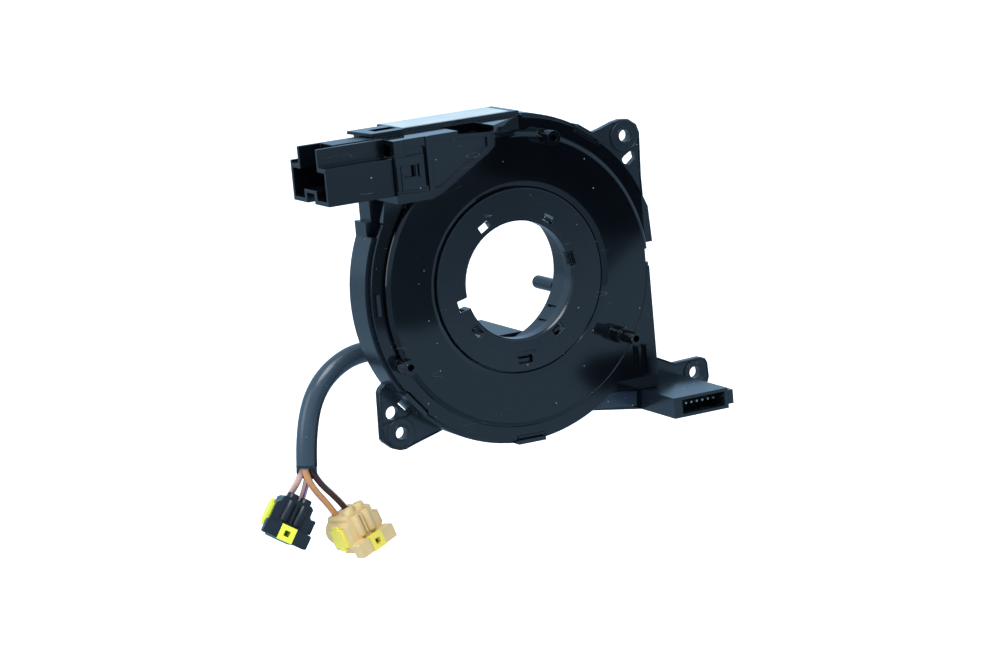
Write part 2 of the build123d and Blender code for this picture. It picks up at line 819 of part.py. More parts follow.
with BuildPart() as ring:
    with BuildSketch(Plane.XY):
        with BuildLine():
            Polyline(
                (bore_r, seam_y),
                (skirt_r, seam_y),
                (skirt_r, ring_under_y),
                (ring_r, ring_under_y),
                (ring_r, ring_y + 0.3),
                (ring_r - 0.3, ring_y),
                (bore_r + 0.8, ring_y),
                (bore_r, ring_y + 0.8),
                close=True,
            )
        make_face()
    revolve(axis=Axis.Y)
    for angle in hook_angles:
        window = Plane(
            origin=(hook_r * cos(radians(angle)), seam_y, hook_r * sin(radians(angle))),
            x_dir=(-sin(radians(angle)), 0, cos(radians(angle))),
            z_dir=(0, -1, 0),
        )
        with BuildSketch(window):
            Rectangle(4.2, 2.6)
        extrude(amount=seam_y - ring_y, mode=Mode.SUBTRACT)
    # the skirt is open behind the empty window
    opening = Plane(
        origin=(hook_r * cos(radians(hook_angles[0])), seam_y, hook_r * sin(radians(hook_angles[0]))),
        x_dir=(-sin(radians(hook_angles[0])), 0, cos(radians(hook_angles[0]))),
        z_dir=(0, -1, 0),
    )
    with BuildSketch(opening):
        with Locations((0, 1.8)):
            Rectangle(5.6, 4.2)
    extrude(amount=seam_y - ring_under_y, mode=Mode.SUBTRACT)
    # lower window with the dished step above it
    with BuildSketch(face(seam_y)):
        with Locations((-0.5, -27.4)):
            Rectangle(5.4, 2.6)
    extrude(amount=seam_y - ring_y, mode=Mode.SUBTRACT)
    with BuildSketch(face(ring_y + 0.5)):
        with Locations((-0.5, -25.4)):
            Rectangle(8.0, 1.6)
    extrude(amount=1.0, mode=Mode.SUBTRACT)
    # key slot and small notch, both open to the bore
    for angle, reach, width, depth in ((key_angle, 4.3, 4.0, 9.0), (11.5, 2.0, 5.0, 3.0)):
        notch = Plane(
            origin=((bore_r - 1) * cos(radians(angle)), ring_y + depth, (bore_r - 1) * sin(radians(angle))),
            x_dir=(cos(radians(angle)), 0, sin(radians(angle))),
            z_dir=(0, -1, 0),
        )
        with BuildSketch(notch):
            Rectangle(reach + 1, width, align=(Align.MIN, Align.CENTER))
        extrude(amount=depth + 1, mode=Mode.SUBTRACT)
ring.part.label = "retaining_ring"

# Hub: double tube, wheel-side disc, hooks and drive pin
disc_y = rear_y + run_gap
disc_t = 2.45
drive_pin = (25.9, -9.1)
drive_pin_r = 2.35
pin_foot = 0.9  # the pin's foot is this much thicker
pin_foot_y = hub_y + 0.5
relief_y = -2.8  # the bore is eased from here forward, behind the hooks

with BuildPart() as hub:
    with BuildSketch(Plane.XY):
        with BuildLine():
            Polyline(
                (hub_bore_r, relief_y),
                (hub_bore_r + 0.4, relief_y),
                (hub_bore_r + 0.4, ring_under_y),
                (tube_r, ring_under_y),
                (tube_r, disc_y),
                (rotor_disc_r, disc_y),
                (rotor_disc_r, disc_y + disc_t),
                (tube_r, disc_y + disc_t),
                (tube_r, hub_y - 0.6),
                (tube_r - 0.6, hub_y),
                (hub_bore_r, hub_y),
                close=True,
            )
        make_face()
    revolve(axis=Axis.Y)
    # hooks through the retaining ring
    for angle in hook_angles[1:]:
        hook = Plane(
            origin=(hook_r * cos(radians(angle)), seam_y + 1, hook_r * sin(radians(angle))),
            x_dir=(-sin(radians(angle)), 0, cos(radians(angle))),
            z_dir=(0, -1, 0),
        )
        with BuildSketch(hook):
            with Locations((0, 0.1)):
                Rectangle(3.2, 1.0)
        extrude(amount=seam_y + 1 - ring_y - 0.3)
        with BuildSketch(hook):
            with Locations((0, -0.9)):
                Rectangle(3.2, 2.2)
        extrude(amount=-3.0)
    # key slot carried through, and the relief behind the open window
    with BuildSketch(face(disc_y)):
        with BuildLine():
            CenterArc((0, 0), tube_r - 1.0, key_angle - 6, 12)
            CenterArc((0, 0), hub_bore_r - 1.0, key_angle - 6, 12)
            Line(polar(tube_r - 1.0, key_angle - 6), polar(hub_bore_r - 1.0, key_angle - 6))
            Line(polar(tube_r - 1.0, key_angle + 6), polar(hub_bore_r - 1.0, key_angle + 6))
        make_face()
    extrude(amount=disc_y - ring_under_y, mode=Mode.SUBTRACT)
    # snap tongue in the bore wall
    tongue = Plane(
        origin=(hub_bore_r * cos(radians(-43)), 2.4, hub_bore_r * sin(radians(-43))),
        x_dir=(sin(radians(43)), 0, cos(radians(43))),
        z_dir=(cos(radians(43)), 0, -sin(radians(43))),
    )
    with BuildSketch(tongue):
        Rectangle(6.6, 8.0)
        Rectangle(5.0, 8.0, mode=Mode.SUBTRACT)
    extrude(amount=0.7, both=True, mode=Mode.SUBTRACT)
    # drive pin on its foot
    with BuildSketch(face(disc_y)):
        with Locations(drive_pin):
            Circle(drive_pin_r + pin_foot)
    extrude(amount=-(pin_foot_y - disc_y))
    with BuildSketch(face(pin_foot_y)):
        with Locations(drive_pin):
            Circle(drive_pin_r)
    extrude(amount=-(pin_y - pin_foot_y))
    chamfer(hub.edges().group_by(Axis.Y)[-1], 0.6)
    # opening into the cable tower
    with BuildSketch(face(disc_y + disc_t)):
        with Locations(((tower_x0 + tower_x1) / 2, -33.5)):
            Rectangle(14.0, 6.0)
    extrude(amount=disc_t, mode=Mode.SUBTRACT)
hub.part.label = "rotor_hub"

# Cable tower: a box on the wheel side that sends the harness out to the left
tower_wall = 1.6
tower_foot_y = disc_y + disc_t
route = [(-23.0, -26.4), (-39.0, -22.0), (-56.6, -29.0), (-65.2, -44.6), (-66.3, -60.0)]
exit_turn = degrees(atan2(route[1][1] - route[0][1], route[1][0] - route[0][0]))
gland = Plane(
    origin=(route[0][0], cable_y, route[0][1]),
    x_dir=(0, 1, 0),
    z_dir=(cos(radians(exit_turn)), 0, sin(radians(exit_turn))),
)

with BuildPart() as tower:
    with BuildSketch(face(tower_y)):
        with Locations(((tower_x0 + tower_x1) / 2, (tower_z0 + tower_z1) / 2)):
            Rectangle(tower_x1 - tower_x0, tower_z1 - tower_z0)
    extrude(amount=tower_y - tower_foot_y)
    fillet(tower.edges().filter_by(Axis.Y), 1.2)
    with BuildSketch(gland):
        Circle(sleeve_d / 2 + 1.5)
    extrude(amount=-5.5)
    with BuildSketch(face(tower_y - tower_wall)):
        with Locations(((tower_x0 + tower_x1) / 2, (tower_z0 + tower_z1) / 2)):
            Rectangle(tower_x1 - tower_x0 - 2 * tower_wall, tower_z1 - tower_z0 - 2 * tower_wall)
    extrude(amount=tower_y - tower_wall - tower_foot_y, mode=Mode.SUBTRACT)
    with BuildSketch(face(hub_y + 1)):
        Circle(tube_r + fit_gap)
    extrude(amount=hub_y + 1 - tower_foot_y, mode=Mode.SUBTRACT)
tower.part.label = "cable_tower"

# Board that joins the ribbon's inner end to the harness wires
with BuildPart() as rotor_board:
    with BuildSketch(face(tower_foot_y + 12.0)):
        with Locations(((tower_x0 + tower_x1) / 2, -33.5)):
            Rectangle(12.0, 1.2)
    extrude(amount=12.0 + disc_t)
rotor_board.part.label = "rotor_board"


# ======== HARNESS ========


def arc_radii(points):
    """Largest tangent arc at each inner point: 0.45 of the shorter run over the half turn's tangent."""
    radii = []
    for before, here, after in zip(points, points[1:], points[2:]):
        run_in = Vector(*here) - Vector(*before)
        run_out = Vector(*after) - Vector(*here)
        half_turn = radians(run_in.get_angle(run_out)) / 2
        radii.append(0.45 * min(run_in.length, run_out.length) / tan(half_turn))
    return radii


def tube(points, diameter, name):
    """Round cord along straight runs joined by tangent arcs."""
    radii = arc_radii(points)
    with BuildPart() as cord:
        with BuildLine() as path:
            FilletPolyline(*points, radius=radii)
        spine = path.wire()
        with BuildSketch(Plane(origin=spine @ 0, z_dir=spine % 0)):
            Circle(diameter / 2)
        sweep(path=spine)
    cord.part.label = name
    length = spine.length
    volume = pi * diameter**2 / 4 * length
    print(name, "length", round(length, 1), "radii", [round(r, 1) for r in radii])
    print("   volume over section x length", round(cord.part.volume / volume, 4))
    return cord


sleeve_points = [(x, cable_y, z) for x, z in route]
sleeve = tube(sleeve_points, sleeve_d, "harness_sleeve")


def hung(at, turn, tilt, roll):
    """Plane of a hanging connector: x along its T-bar, y towards its wires, z out of its front."""
    turn, tilt, roll = radians(turn), radians(tilt), radians(roll)
    out = Vector(-sin(turn) * cos(tilt), -cos(turn) * cos(tilt), sin(tilt))
    right = Vector(cos(turn), -sin(turn), 0)
    bar = right * cos(roll) + out.cross(right) * sin(roll)
    return Plane(origin=at, x_dir=bar, z_dir=out)


black_place = hung((-77.2, 32.9, -81.8), 12, 11, -33)
beige_place = hung((-47.7, 29.9, -89.9), -12.4, 8.9, 16)

plug_w = 14.4
plug_h = 12.2  # top of the body above the middle of the bar
tower_h = 13.4  # top of the two half-round towers
side_low = 0.4  # underside of the body at its sides
plug_front = 3.0
plug_back = -8.5
bar_w = 16.6
bar_h = 5.2
bar_front = 7.0
cpa_w = 5.6
cpa_travel = 2.0
entry_x = 2.4
entry_z = -6.6
lock_t = 1.0
lock_z = -3.0


def plug_body(place, name):
    """Connector body with its T-bar, plug nose and two wire wells."""
    with BuildPart() as body:
        with BuildSketch(place.offset(plug_back)):
            with BuildLine():
                Polyline(
                    (-plug_w / 2, side_low),
                    (-cpa_w / 2 - 1.6, side_low),
                    (-cpa_w / 2 - 1.6, -bar_h / 2),
                    (cpa_w / 2 + 1.6, -bar_h / 2),
                    (cpa_w / 2 + 1.6, side_low),
                    (plug_w / 2, side_low),
                    (plug_w / 2, plug_h - 5.0),
                    (plug_w / 2 - 1.4, plug_h - 3.4),
                    (plug_w / 2 - 1.4, plug_h - 0.9),
                    (plug_w / 2 - 2.3, plug_h),
                    (-plug_w / 2 + 2.3, plug_h),
                    (-plug_w / 2 + 1.4, plug_h - 0.9),
                    (-plug_w / 2 + 1.4, plug_h - 2.0),
                    (-plug_w / 2, plug_h - 3.4),
                    close=True,
                )
            make_face()
        extrude(amount=plug_front - plug_back)
        with BuildSketch(place.offset(plug_front)):
            RectangleRounded(bar_w, bar_h, 0.7)
        extrude(amount=bar_front - plug_front)
        # half-round towers in front of the wires, ribs between them
        for x in (-entry_x, entry_x):
            foot = place.from_local_coords((x, 0, 1.0))
            with BuildSketch(Plane(origin=foot, x_dir=place.x_dir, z_dir=place.y_dir)):
                Circle(2.1)
            extrude(amount=tower_h)
            with BuildSketch(place.offset(plug_front)):
                with Locations((x, plug_h / 2 + 0.4)):
                    Rectangle(2.8, 8.0)
            extrude(amount=0.9)
        with BuildSketch(place.offset(plug_front)):
            with Locations((0, plug_h / 2 + 0.4)):
                Rectangle(0.8, 8.0)
        extrude(amount=0.9)
        # wells that take the wires
        for x in (-entry_x, entry_x):
            entry = place.from_local_coords((x, plug_h, entry_z))
            with BuildSketch(Plane(origin=entry, x_dir=place.x_dir, z_dir=place.y_dir)):
                Circle(wire_d / 2)
            extrude(amount=-3.0, mode=Mode.SUBTRACT)
        # plug nose
        with BuildSketch(place.offset(plug_back)):
            with Locations((0, 4.4)):
                Circle(4.6)
        extrude(amount=-6.5)
        with BuildSketch(place.offset(plug_back - 6.5)):
            with Locations((-1.6, 4.4), (1.6, 4.4)):
                Circle(0.75)
        extrude(amount=7.0, mode=Mode.SUBTRACT)
        # slot for the sliding lock
        with BuildSketch(place.offset(bar_front)):
            Rectangle(cpa_w + 2 * fit_gap, bar_h + 2)
        extrude(amount=-(bar_front - plug_front), mode=Mode.SUBTRACT)
        with BuildSketch(place.offset(plug_front)):
            Rectangle(cpa_w + 2 * fit_gap, bar_h - 1.6)
        extrude(amount=-(plug_front + cpa_travel + 0.6), mode=Mode.SUBTRACT)
        # seat of the side lock
        with BuildSketch(place.offset(lock_z)):
            with Locations((-plug_w / 2, 5.0)):
                Rectangle(2 * lock_t, 7.0)
        extrude(amount=3.4, both=True, mode=Mode.SUBTRACT)
    body.part.label = name
    return body


def plug_cpa(place, name):
    """Sliding lock in the middle of the T-bar, with its blind square hole."""
    with BuildPart() as cpa:
        with BuildSketch(place.offset(plug_front + cpa_travel + 0.1)):
            Rectangle(cpa_w, bar_h + 0.3)
        extrude(amount=bar_front + 0.3 - plug_front - cpa_travel - 0.1)
        with BuildSketch(place.offset(0.6)):
            Rectangle(cpa_w - 0.2, bar_h - 1.9)
        extrude(amount=plug_front + cpa_travel)
        with BuildSketch(place.offset(bar_front + 0.3)):
            Rectangle(2.1, 2.1)
        extrude(amount=-3.0, mode=Mode.SUBTRACT)
    cpa.part.label = name
    return cpa


def plug_lock(place, name):
    """Secondary lock clipped into the left side of the body."""
    with BuildPart() as lock:
        with BuildSketch(place.offset(lock_z)):
            with Locations((-plug_w / 2 + lock_t / 2 - 0.5, 5.0)):
                Rectangle(lock_t + 1.0, 7.0 - 2 * fit_gap)
        extrude(amount=3.4 - fit_gap, both=True)
        with BuildSketch(place.offset(lock_z)):
            with Locations((-plug_w / 2 - 0.5, 5.0)):
                Rectangle(1.0, 9.4)
        extrude(amount=1.6, both=True)
    lock.part.label = name
    return lock


black_body = plug_body(black_place, "black_connector")
black_cpa = plug_cpa(black_place, "black_cpa")
black_lock = plug_lock(black_place, "black_lock")
beige_body = plug_body(beige_place, "beige_connector")
beige_cpa = plug_cpa(beige_place, "beige_cpa")
beige_lock = plug_lock(beige_place, "beige_lock")


def wire(place, entry, start, lead, tail, name):
    """Wire from the mouth of the sleeve to a well of a connector."""
    well = Vector(place.from_local_coords((entry, plug_h - 3.0, entry_z)))
    mouth = Vector(route[-1][0] + start[0], cable_y + start[1], route[-1][1] - 0.1)
    down = Vector(-0.07, 0, -1).normalized()
    points = [mouth, mouth + down * lead, well + place.y_dir * tail, well]
    return tube([tuple(p) for p in points], wire_d, name)


spread = wire_d / 2 + 0.1
black_wires = [
    wire(black_place, -entry_x, (-spread, spread), 5.2, 5.6, "wire_black_1"),
    wire(black_place, entry_x, (spread, spread), 3.2, 5.6, "wire_black_2"),
]
beige_wires = [
    wire(beige_place, -entry_x, (-spread, -spread), 8.0, 5.8, "wire_beige_1"),
    wire(beige_place, entry_x, (spread, -spread), 6.0, 6.0, "wire_beige_2"),
]

pieces = [
    shell,
    cover,
    socket,
    socket_pins,
    module_pins,
    block_board,
    duct_board,
    ribbon,
    slip_front,
    slip_rear,
    label,
    ring,
    hub,
    tower,
    rotor_board,
    sleeve,
    black_body,
    black_cpa,
    black_lock,
    beige_body,
    beige_cpa,
    beige_lock,
    *black_wires,
    *beige_wires,
]
for piece in pieces:
    solids = len(piece.part.solids())
    box = piece.part.bounding_box()
    print(piece.part.label, "solids", solids, "volume", round(piece.part.volume, 1), box.min, box.max)
    export_step(piece.part, f"parts/{piece.part.label}.step")
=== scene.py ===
# %% [markdown]
# # A steering clock spring, from its CAD frame to a finished look
# A clock spring sits behind a steering wheel. A flat ribbon cable is wound inside its drum, so that the
# airbag and the horn stay wired while the wheel turns. The CAD model already has every hard piece at its
# real place and size. This lesson loads that model, gives its edges the small radii that moulded plastic
# has, replaces the plain cords, and builds the finishes, the light and the camera.

# %% Load the frame
import bpy
import json
from math import cos, pi, radians, sin
from mathutils import Matrix, Vector


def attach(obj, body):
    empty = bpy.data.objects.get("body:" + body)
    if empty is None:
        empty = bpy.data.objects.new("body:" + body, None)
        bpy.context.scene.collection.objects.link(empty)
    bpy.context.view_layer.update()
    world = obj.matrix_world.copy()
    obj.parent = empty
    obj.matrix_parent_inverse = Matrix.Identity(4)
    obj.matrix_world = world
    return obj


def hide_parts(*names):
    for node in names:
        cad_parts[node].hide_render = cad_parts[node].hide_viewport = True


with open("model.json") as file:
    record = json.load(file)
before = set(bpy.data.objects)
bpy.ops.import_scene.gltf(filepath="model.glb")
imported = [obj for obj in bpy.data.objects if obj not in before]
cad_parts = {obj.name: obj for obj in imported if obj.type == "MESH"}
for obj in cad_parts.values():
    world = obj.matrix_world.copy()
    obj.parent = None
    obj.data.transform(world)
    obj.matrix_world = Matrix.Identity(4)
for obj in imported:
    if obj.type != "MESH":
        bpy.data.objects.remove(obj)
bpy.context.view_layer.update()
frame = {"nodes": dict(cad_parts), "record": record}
nodes = frame["nodes"]

# %% [markdown]
# ## The camera
# The drum is seen from its flat side, from a little to the left and above, with a long lens, so that the
# far side is hardly smaller than the near one. The camera is also tipped a few degrees, which is why its
# own right and up directions are written out instead of being worked out from a target point.

# %% Camera
camera_data = bpy.data.cameras.new("camera")
camera_data.lens = 120.68
camera_data.sensor_width = 36
camera_data.clip_start = 0.05
camera = bpy.data.objects.new("camera", camera_data)
bpy.context.scene.collection.objects.link(camera)
right = Vector((0.88118, -0.46400, -0.09065)).normalized()
ahead = Vector((0.44171, 0.87637, -0.19202)).normalized()
up = right.cross(ahead)
camera.matrix_world = Matrix.Translation((-0.511168, -1.007868, 0.201242)) @ Matrix(
    (right, up, -ahead)
).transposed().to_4x4()
bpy.context.scene.camera = camera
print("camera looks along", tuple(round(value, 3) for value in ahead))

# %% [markdown]
# ## The harness cords
# Two airbag connectors hang from the hub on a short cable. A soft PVC sleeve covers its first stretch and
# four thin wires come out of the mouth. A cord is best drawn as one NURBS curve with a few control points,
# because such a curve bends evenly, as a cable does, and never shows corners. The order is set after the
# points are there, since a curve with too few points falls back to straight runs.

# %% A helper for cords
MM = 0.001
COOL = (0.44, 0.71, 1.0, 1)  # tint of the room as reflections see it


def cord_curve(name, points, diameter, segments=10):
    """NURBS curve through control points in millimetres, with a round section."""
    data = bpy.data.curves.new(name, "CURVE")
    data.dimensions = "3D"
    data.bevel_depth = diameter / 2 * MM
    data.bevel_resolution = segments
    data.resolution_u = 16
    data.use_fill_caps = True
    spline = data.splines.new("NURBS")
    spline.points.add(len(points) - 1)
    for control, place in zip(spline.points, points):
        control.co = (place[0] * MM, place[1] * MM, place[2] * MM, 1)
    spline.order_u = 3
    spline.use_endpoint_u = True
    cord = bpy.data.objects.new(name, data)
    bpy.context.scene.collection.objects.link(cord)
    return cord


# %% Places of the two hanging connectors, as in the CAD model
def hung(at, turn, tilt, roll):
    """Matrix of a hanging connector: X along its T-bar, Y towards its wires, Z out of its front."""
    turn, tilt, roll = radians(turn), radians(tilt), radians(roll)
    out = Vector((-sin(turn) * cos(tilt), -cos(turn) * cos(tilt), sin(tilt)))
    level = Vector((cos(turn), -sin(turn), 0))
    bar = level * cos(roll) + out.cross(level) * sin(roll)
    return Matrix.Translation(Vector(at)) @ Matrix((bar, out.cross(bar), out)).transposed().to_4x4()


black_place = hung((-77.2, 32.9, -81.8), 12, 11, -33)
beige_place = hung((-47.7, 29.9, -89.9), -12.4, 8.9, 16)
print("black connector at", tuple(black_place.translation), "beige at", tuple(beige_place.translation))

# %% Sleeve and wires
cable_y = 32.0
sleeve_d = 7.2
wire_d = 2.3
row_x = 2.4  # each connector has two rows, this far either side of its middle
well_y, well_z = 9.4, -6.6  # where a wire goes down into a connector
route = [(-23.0, -26.4), (-39.0, -22.0), (-56.6, -29.0), (-65.2, -44.6), (-66.3, -60.0)]
mouth_x, mouth_z = -66.3, -60.2
drawn_route = [*route[:-1], (mouth_x, mouth_z)]
sleeve = cord_curve("sleeve", [(x, cable_y, z) for x, z in drawn_route], sleeve_d)


def wire(name, place, entry, start, bend, tail):
    """A wire from inside the sleeve down into a well of its connector."""
    well = place @ Vector((entry, well_y, well_z))
    mouth = Vector((mouth_x + start[0], cable_y + start[1], mouth_z + 1.5))
    down = Vector((-0.07, 0, -1)).normalized()
    back = (place.to_3x3() @ Vector((0, 1, 0))).normalized()
    return cord_curve(name, [mouth, mouth + down * bend, well + back * tail, well], wire_d)


spread = wire_d / 2 + 0.05
wires = [
    wire("wire_black_left", black_place, -row_x, (-spread, spread), 4.2, 3.2),
    wire("wire_black_right", black_place, row_x, (spread, spread), 5.0, 3.2),
    wire("wire_beige_left", beige_place, -row_x, (-spread, -spread), 5.5, 3.4),
    wire("wire_beige_right", beige_place, row_x, (spread, -spread), 4.5, 3.4),
]
print("cords:", sleeve.name, [cord.name for cord in wires])

# %% [markdown]
# ## Shared surface effects
# Every moulded piece shows the same three things when it is looked at closely: a fine grain, faint
# hairline scratches from handling, and a few specks of dust. They are built once as a node group, and each
# finish sets its own strength. The pattern is laid out in Object coordinates, in metres, so that a speck
# has its real size on every piece.

# %% Helpers for building node trees
def link_nodes(tree, start, end):
    """Links an output socket to an input socket."""
    tree.links.new(start, end)


def math_node(tree, operation, first, second=None, clamp=False):
    """A Math node whose inputs are sockets or plain numbers; returns its output."""
    node = tree.nodes.new("ShaderNodeMath")
    node.operation = operation
    node.use_clamp = clamp
    for socket, value in zip(node.inputs, (first, second)):
        if value is None:
            continue
        if isinstance(value, (int, float)):
            socket.default_value = value
        else:
            link_nodes(tree, value, socket)
    return node.outputs[0]


def noise(tree, where, scale, detail=2.0, stretch=None):
    """A noise pattern of that many features to the metre; returns its factor."""
    if stretch:
        mapping = tree.nodes.new("ShaderNodeMapping")
        mapping.inputs["Scale"].default_value = stretch
        mapping.inputs["Rotation"].default_value = (0.4, 0.7, 0.3)
        link_nodes(tree, where, mapping.inputs["Vector"])
        where = mapping.outputs[0]
    node = tree.nodes.new("ShaderNodeTexNoise")
    node.inputs["Scale"].default_value = scale
    node.inputs["Detail"].default_value = detail
    link_nodes(tree, where, node.inputs["Vector"])
    return node.outputs["Fac"]


def ramp(tree, value, low, high):
    """Turns a value into 0 below low and 1 above high, with a soft step between."""
    node = tree.nodes.new("ShaderNodeMapRange")
    node.interpolation_type = "SMOOTHSTEP"
    node.inputs["From Min"].default_value = low
    node.inputs["From Max"].default_value = high
    link_nodes(tree, value, node.inputs["Value"])
    return node.outputs["Result"]


def mix_colors(tree, factor, first, second, mode="MIX"):
    """A Mix node for colours; colours are sockets or RGBA tuples."""
    node = tree.nodes.new("ShaderNodeMix")
    node.data_type = "RGBA"
    node.blend_type = mode
    for socket, value in ((node.inputs[0], factor), (node.inputs[6], first), (node.inputs[7], second)):
        if isinstance(value, (int, float, tuple)):
            socket.default_value = value
        else:
            link_nodes(tree, value, socket)
    return node.outputs[2]


# %% The moulded-surface group
def build_moulded_group():
    """Grain, scratches and dust for any moulded surface."""
    group = bpy.data.node_groups.new("moulded_surface", "ShaderNodeTree")
    face = group.interface
    face.new_socket("Color", in_out="INPUT", socket_type="NodeSocketColor")
    for name, value in (("Roughness", 0.3), ("Grain", 0.2), ("Scratches", 0.3), ("Dust", 0.3)):
        socket = face.new_socket(name, in_out="INPUT", socket_type="NodeSocketFloat")
        socket.default_value = value
    face.new_socket("Color", in_out="OUTPUT", socket_type="NodeSocketColor")
    face.new_socket("Roughness", in_out="OUTPUT", socket_type="NodeSocketFloat")
    face.new_socket("Height", in_out="OUTPUT", socket_type="NodeSocketFloat")
    given = group.nodes.new("NodeGroupInput")
    made = group.nodes.new("NodeGroupOutput")
    where = group.nodes.new("ShaderNodeTexCoord").outputs["Object"]

    # cloudy change of tone, and the fine grain of the mould
    clouds = noise(group, where, 45, 3)
    grain = noise(group, where, 5200, 1)
    # hairline scratches: the thin line where a drawn-out noise crosses its middle, kept in a few places
    wander = noise(group, where, 30, 2)
    drawn = noise(group, where, 60, 0.5, (1, 1, 5))
    middle = math_node(group, "ABSOLUTE", math_node(group, "SUBTRACT", drawn, 0.5))
    hair = math_node(group, "SUBTRACT", 1.0, ramp(group, middle, 0.0006, 0.0028))
    broken = ramp(group, noise(group, where, 75, 1), 0.63, 0.68)
    scratch = math_node(group, "MULTIPLY", hair, broken)
    scratch = math_node(group, "MULTIPLY", scratch, given.outputs["Scratches"])
    # dust: small round specks in a few of many cells
    specks = group.nodes.new("ShaderNodeTexVoronoi")
    specks.inputs["Scale"].default_value = 420
    link_nodes(group, where, specks.inputs["Vector"])
    near = math_node(group, "SUBTRACT", 1.0, ramp(group, specks.outputs["Distance"], 0.05, 0.13))
    pick = group.nodes.new("ShaderNodeSeparateColor")
    link_nodes(group, specks.outputs["Color"], pick.inputs[0])
    chosen = ramp(group, pick.outputs[0], 0.90, 0.92)
    dust = math_node(group, "MULTIPLY", near, chosen)
    dust = math_node(group, "MULTIPLY", dust, given.outputs["Dust"])
    tone = mix_colors(group, ramp(group, clouds, 0.3, 0.75), (0.9, 0.9, 0.92, 1), (1.08, 1.08, 1.06, 1))
    color = mix_colors(group, 1.0, given.outputs["Color"], tone, "MULTIPLY")
    color = mix_colors(group, scratch, color, (0.3, 0.34, 0.38, 1))
    color = mix_colors(group, dust, color, (0.55, 0.58, 0.6, 1))
    link_nodes(group, color, made.inputs["Color"])

    rough = math_node(group, "ADD", given.outputs["Roughness"], math_node(group, "MULTIPLY", clouds, 0.03))
    rough = math_node(group, "ADD", rough, math_node(group, "MULTIPLY", scratch, 0.3))
    rough = math_node(group, "ADD", rough, math_node(group, "MULTIPLY", dust, 0.5), clamp=True)
    link_nodes(group, rough, made.inputs["Roughness"])

    height = math_node(group, "MULTIPLY", grain, given.outputs["Grain"])
    height = math_node(group, "SUBTRACT", height, math_node(group, "MULTIPLY", scratch, 0.5))
    height = math_node(group, "ADD", height, math_node(group, "MULTIPLY", wander, 0.04))
    link_nodes(group, height, made.inputs["Height"])
    return group


moulded_surface = build_moulded_group()
print("shared group:", moulded_surface.name, "with", len(moulded_surface.nodes), "nodes")


# %% Finishes of the moulded plastics
def finish_material(name):
    """A new material with its Principled shader; returns both and the node tree."""
    material = bpy.data.materials.new(name)
    material.use_nodes = True
    tree = material.node_tree
    return material, tree, tree.nodes["Principled BSDF"]


def moulded(name, color, roughness, grain=0.2, scratches=0.3, dust=0.4, ior=1.5, bump=0.15):
    """Injection-moulded plastic: the shared group feeds colour, roughness and bump."""
    material, tree, shader = finish_material(name)
    surface = tree.nodes.new("ShaderNodeGroup")
    surface.node_tree = moulded_surface
    surface.inputs["Color"].default_value = (*color, 1)
    for socket, value in (
        ("Roughness", roughness),
        ("Grain", grain),
        ("Scratches", scratches),
        ("Dust", dust),
    ):
        surface.inputs[socket].default_value = value
    link_nodes(tree, surface.outputs["Color"], shader.inputs["Base Color"])
    link_nodes(tree, surface.outputs["Roughness"], shader.inputs["Roughness"])
    relief = tree.nodes.new("ShaderNodeBump")
    relief.inputs["Strength"].default_value = bump
    relief.inputs["Distance"].default_value = 0.00005
    link_nodes(tree, surface.outputs["Height"], relief.inputs["Height"])
    link_nodes(tree, relief.outputs["Normal"], shader.inputs["Normal"])
    shader.inputs["IOR"].default_value = ior
    return material


finishes = {
    "shell_plastic": moulded("shell_plastic", (0.0070, 0.0115, 0.0170), 0.18, grain=0.05),
    "cover_plastic": moulded("cover_plastic", (0.0012, 0.0018, 0.0030), 0.05, grain=0.0, bump=0.05),
    "socket_plastic": moulded(
        "socket_plastic", (0.0012, 0.0020, 0.0034), 0.22, grain=0.05, scratches=0.6, dust=0.6
    ),
    "ring_plastic": moulded("ring_plastic", (0.0062, 0.0090, 0.0125), 0.20, scratches=0.6),
    "hub_plastic": moulded("hub_plastic", (0.0020, 0.0034, 0.0056), 0.22),
    "tower_plastic": moulded("tower_plastic", (0.0030, 0.0050, 0.0080), 0.28),
    "plug_black": moulded("plug_black", (0.0050, 0.0085, 0.0135), 0.30),
    "plug_beige": moulded("plug_beige", (0.72, 0.53, 0.25), 0.36, scratches=0.1, dust=0.1),
    "lock_yellow": moulded("lock_yellow", (0.78, 0.86, 0.06), 0.35, scratches=0.1, dust=0.1),
    "lock_amber": moulded("lock_amber", (0.86, 0.74, 0.10), 0.35, scratches=0.1, dust=0.1),
    "sleeve_rubber": moulded("sleeve_rubber", (0.036, 0.058, 0.078), 0.24, scratches=0.15, dust=0.3),
    "wire_violet": moulded("wire_violet", (0.66, 0.42, 0.37), 0.35, scratches=0.0, dust=0.0),
    "wire_orange": moulded("wire_orange", (0.72, 0.33, 0.13), 0.35, scratches=0.0, dust=0.0),
    "wire_brown": moulded("wire_brown", (0.055, 0.016, 0.014), 0.32, scratches=0.0, dust=0.0),
    "board": moulded("board", (0.03, 0.12, 0.05), 0.4, scratches=0.1, dust=0.1),
    "ribbon_film": moulded("ribbon_film", (0.45, 0.20, 0.04), 0.25, scratches=0.1, dust=0.1),
    "slip_film": moulded("slip_film", (0.72, 0.72, 0.70), 0.45, scratches=0.1, dust=0.1),
    "label_film": moulded("label_film", (0.52, 0.62, 0.66), 0.40, scratches=0.1, dust=0.2),
}
metal, metal_tree, metal_shader = finish_material("pin_metal")
metal_shader.inputs["Metallic"].default_value = 1.0
tin = metal_tree.nodes.new("ShaderNodeTexCoord").outputs["Object"]
drawn_metal = noise(metal_tree, tin, 900, 3, (1, 6, 1))
metal_color = mix_colors(metal_tree, drawn_metal, (0.50, 0.51, 0.52, 1), (0.80, 0.79, 0.76, 1))
link_nodes(metal_tree, metal_color, metal_shader.inputs["Base Color"])
metal_rough = ramp(metal_tree, noise(metal_tree, tin, 2500, 2), -0.6, 1.6)
